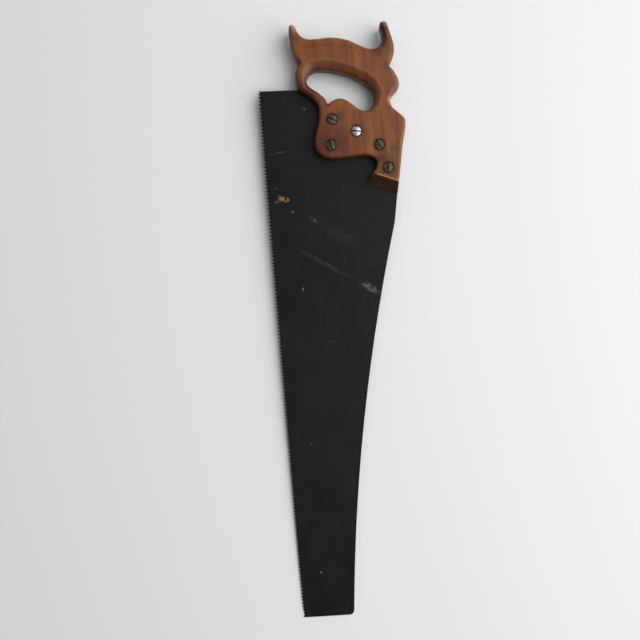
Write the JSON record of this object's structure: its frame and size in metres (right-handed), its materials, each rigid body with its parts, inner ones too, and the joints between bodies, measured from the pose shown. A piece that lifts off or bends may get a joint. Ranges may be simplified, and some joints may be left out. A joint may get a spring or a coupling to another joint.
{
  "type": "hand saw",
  "caption": "Carpenter's hand saw: black skew-backed crosscut plate with raked teeth, closed hardwood handle with horns, held by slotted saw screws and barrel nuts.",
  "frame": {"origin": "centre of the footprint of the whole saw, on the surface that its nut-side cheek lies on", "axes": "+X along the tooth line from the handle to the toe, +Y from the teeth towards the back, +Z square to the plate, out of the slotted-screw cheek"},
  "size_m": [0.7358, 0.178, 0.0225],
  "materials": {
    "varnished_wood": "glossy varnished reddish-brown hardwood, worn at the horns",
    "black_plate": "satin black coating over spring steel, scuffed, with bright filed tooth edges",
    "aged_brass": "dull tarnished brass",
    "bright_nickel": "bright plated steel replacement screw"
  },
  "bodies": {
    "root": {"saw_plate": "black_plate", "handle": "varnished_wood", "guard_screw": "aged_brass", "guard_nut": "aged_brass", "front_screw": "aged_brass", "front_nut": "aged_brass", "centre_screw": "bright_nickel", "centre_nut": "aged_brass", "back_screw": "aged_brass", "back_nut": "aged_brass", "nose_screw": "aged_brass", "nose_nut": "aged_brass"}
  },
  "joints": []
}
